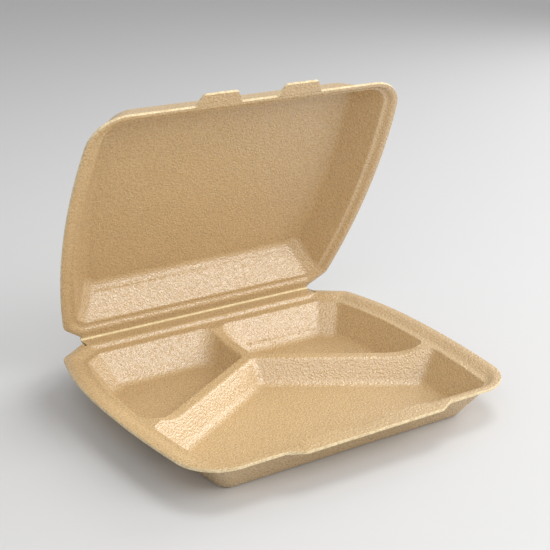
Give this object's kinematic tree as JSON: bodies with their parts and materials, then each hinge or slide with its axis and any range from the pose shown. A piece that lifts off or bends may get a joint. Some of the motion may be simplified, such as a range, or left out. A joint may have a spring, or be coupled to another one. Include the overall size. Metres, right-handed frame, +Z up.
{
  "type": "foam clamshell container",
  "caption": "Shallow moulded foam meal box: a tray with pockets round a hollow Y-shaped divider, and a lid on a crushed crease with tabs on its front edge.",
  "frame": {"origin": "on the table plane, under the middle of the tray measured from the crease to the front rim; it lies on the underside of the front pocket", "axes": "+Z up, -Y towards the front edge with the lip, +Y towards the crease, +X to the right seen from the front"},
  "size_m": [0.2416, 0.2205, 0.2024],
  "materials": {
    "foam": "satin, finely pebbled foam skin"
  },
  "bodies": {
    "tray": {"tray": "foam"},
    "lid": {"lid": "foam"}
  },
  "joints": [
    {"name": "crease", "type": "hinge", "parent": "tray", "child": "lid", "pos_m": [0, 0.103, 0.026], "axis": [-1, 0, 0], "range_deg": [-62.4, 117.6]}
  ]
}
